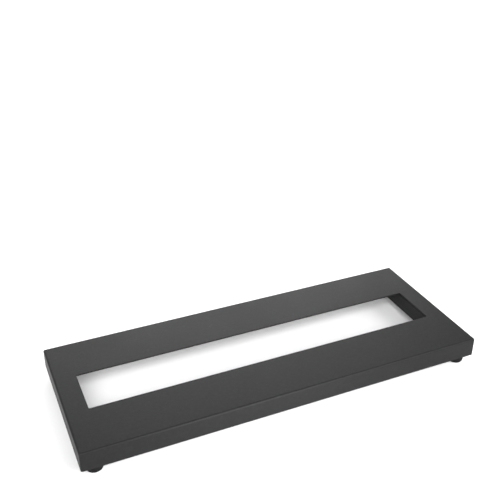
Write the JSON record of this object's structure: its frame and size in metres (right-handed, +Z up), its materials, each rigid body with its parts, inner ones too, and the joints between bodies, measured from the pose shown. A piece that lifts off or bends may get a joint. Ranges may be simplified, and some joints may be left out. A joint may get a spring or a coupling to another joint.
{
  "type": "pedalboard",
  "caption": "Low folded-steel platform for guitar effects pedals, with one long cable slot, a welded channel under each end and screwed rubber feet.",
  "frame": {"origin": "middle of the footprint, on the surface that the feet stand on", "axes": "+X along the board to the player's right, +Y away from the player to the back, +Z up through the top"},
  "size_m": [0.457, 0.178, 0.0324],
  "materials": {
    "powder_coat": "black satin powder coat, fine texture",
    "foot_rubber": "matt black moulded rubber",
    "zinc_plated_steel": "bright zinc plate"
  },
  "bodies": {
    "root": {"deck": "powder_coat", "left_end_channel": "powder_coat", "right_end_channel": "powder_coat", "foot_front_left": "foot_rubber", "foot_front_right": "foot_rubber", "foot_back_left": "foot_rubber", "foot_back_right": "foot_rubber", "foot_washer_front_left": "zinc_plated_steel", "foot_washer_front_right": "zinc_plated_steel", "foot_washer_back_left": "zinc_plated_steel", "foot_washer_back_right": "zinc_plated_steel", "foot_screw_front_left": "zinc_plated_steel", "foot_screw_front_right": "zinc_plated_steel", "foot_screw_back_left": "zinc_plated_steel", "foot_screw_back_right": "zinc_plated_steel", "foot_nut_front_left": "zinc_plated_steel", "foot_nut_front_right": "zinc_plated_steel", "foot_nut_back_left": "zinc_plated_steel", "foot_nut_back_right": "zinc_plated_steel"}
  },
  "joints": []
}
